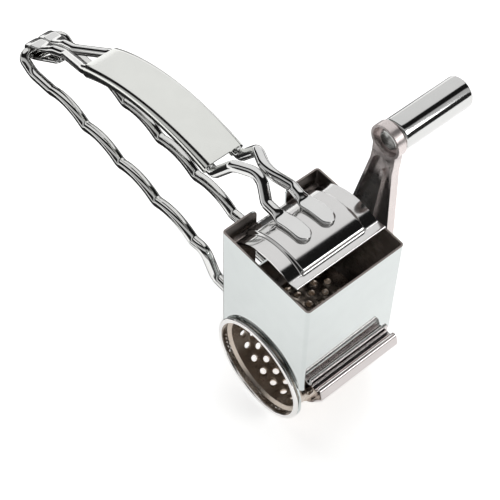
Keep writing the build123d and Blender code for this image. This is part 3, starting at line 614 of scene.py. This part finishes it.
def turned(profile, segments):
    """Points of a profile (y, radius) carried round the drum axis, and its quads."""
    angle = np.linspace(0, 2 * pi, segments, endpoint=False)[:, None]
    ring_points = np.stack([profile[:, 1] * np.cos(angle), profile[:, 0] + 0 * angle,
                            profile[:, 1] * np.sin(angle)], axis=-1)
    n = len(profile)
    a, b = np.arange(segments)[:, None], np.arange(n - 1)[None, :]
    after = (a + 1) % segments
    quads = np.stack([a * n + b, a * n + b + 1, after * n + b + 1, after * n + b], axis=-1)
    return ring_points.reshape(-1, 3), quads.reshape(-1, 4)


parts = [(cells.reshape(-1, 3), cell_quads), turned(mouth_profile, 4 * around_holes),
         turned(end_profile, 4 * around_holes)]
starts = np.cumsum([0] + [len(points) for points, _ in parts])
drum_points = np.concatenate([points for points, _ in parts]) * MM
drum_quads = np.concatenate([quads + start for (_, quads), start in zip(parts, starts)])
drum_mesh = bpy.data.meshes.new("pierced_drum")
drum_mesh.from_pydata(drum_points.tolist(), [], drum_quads.tolist())
shape = bmesh.new()
shape.from_mesh(drum_mesh)
bmesh.ops.remove_doubles(shape, verts=shape.verts, dist=2e-5)
bmesh.ops.recalc_face_normals(shape, faces=shape.faces)
shape.to_mesh(drum_mesh)
shape.free()
drum_steel = steel("pierced_drum_sheet", "#C6BAAE", 0.26, ripple=0.01)
drum = place_piece(drum_mesh, "drum_shell", "drum", drum_steel, 50)


rim_length = 2.0


def on_rim(centres):
    """True for points of the rolled rim."""
    return centres[:, 1] < rim_length


second_finish(drum, steel("polished_rim", "#E4E2E0", 0.1), on_rim)
cad_copy("drum_end_disc", "drum", drum_steel, 0.2)

# ---------------------------------------------------------------------------------------------
# Crank arm and its fixings: a channel pressed from steel sheet, with a rib down its middle and an
# eye at the end, screwed to a turned boss on the drum. The grip's spindle is riveted in the eye.
arm_steel = steel("pressed_arm_sheet", "#D6CDCB", 0.28, ripple=0.01)
cad_copy("crank_arm", "drum", arm_steel, 0.35)

turned_steel = steel("turned_steel", "#C4C4C2", 0.14)
for node in ("drum_drive_boss", "crank_washer", "crank_screw", "grip_spindle", "grip_washer",
             "spindle_retainer"):
    cad_copy(node, "drum", turned_steel, 0.15)

# ---------------------------------------------------------------------------------------------
# Grip: a plain polished steel tube with rounded ends, closed by a pressed-in cap. It spins on the
# spindle and is kept on it by a washer and a retainer inside.
grip_low, grip_high = (np.array(corner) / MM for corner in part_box("grip_sleeve"))
grip_radius = (grip_high[0] - grip_low[0]) / 2
grip_z = (grip_low[2] + grip_high[2]) / 2
bore_radius, bore_edge, near_wall = 3.08, 0.2, 3.0
near_round, grip_wall, cap_depth = 1.0, 0.8, 0.4
grip_inner = grip_radius - grip_wall
round_over = np.linspace(0, pi / 2, 7)
grip_profile = np.concatenate([
    [(grip_low[1] + near_wall, bore_radius), (grip_low[1] + bore_edge, bore_radius),
     (grip_low[1], bore_radius + 0.22)],
    np.column_stack([grip_low[1] + near_round * (1 - np.cos(round_over)),
                     grip_radius - near_round * (1 - np.sin(round_over))]),
    np.column_stack([grip_high[1] - grip_wall * (1 - np.sin(round_over)),
                     grip_radius - grip_wall * (1 - np.cos(round_over))]),
    [(grip_high[1], grip_inner), (grip_high[1] - cap_depth, grip_inner),
     (grip_low[1] + near_wall, grip_inner), (grip_low[1] + near_wall, bore_radius)]])
spread, spacing = [], 2.0
for first, last in zip(grip_profile[:-1], grip_profile[1:]):
    pieces = max(1, int(np.linalg.norm(last - first) / spacing))
    spread.append(first + (last - first) * np.linspace(0, 1, pieces, endpoint=False)[:, None])
grip_profile = np.concatenate(spread)
grip_turn = np.linspace(0, 2 * pi, 72, endpoint=False)[:, None]
grip_loops = np.stack([grip_profile[:, 1] * np.cos(grip_turn), grip_profile[:, 0] + 0 * grip_turn,
                       grip_z + grip_profile[:, 1] * np.sin(grip_turn)], axis=-1)
grip_steel = steel("polished_grip_tube", "#D2D2D1", 0.09, grain_mm=(0.2, 0.2, 0.2))
place_piece(loops_mesh("grip_tube", grip_loops, True), "grip_sleeve", "grip",
            grip_steel)
cad_copy("grip_end_cap", "grip", grip_steel, 0)

# ---------------------------------------------------------------------------------------------
# Bush and bearing: moulded nylon, matt and slightly cloudy. The flanged bush is pushed into the
# hopper's crank-side wall, and the bearing sits in the grip and runs on its spindle.
nylon = bpy.data.materials.new("moulded_nylon")
nylon.use_nodes = True
nylon_place = add(nylon.node_tree, "ShaderNodeTexCoord").outputs["Object"]
nylon_cloud = add(nylon.node_tree, "ShaderNodeTexNoise", Vector=nylon_place, Scale=1 / (3 * MM))
nylon_colour = add(nylon.node_tree, "ShaderNodeMix", {"data_type": "RGBA"},
                   Factor=nylon_cloud.outputs["Fac"], _6=linear("#E4E2DA"), _7=linear("#D6D3C9"))
nylon_surface = nylon.node_tree.nodes["Principled BSDF"]
nylon.node_tree.links.new(nylon_colour.outputs[2], nylon_surface.inputs["Base Color"])
nylon_surface.inputs["Roughness"].default_value = 0.45
nylon_surface.inputs["IOR"].default_value = 1.53
cad_copy("crank_side_bush", "housing", nylon, 0.1)
cad_copy("grip_bearing", "grip", nylon, 0.1)
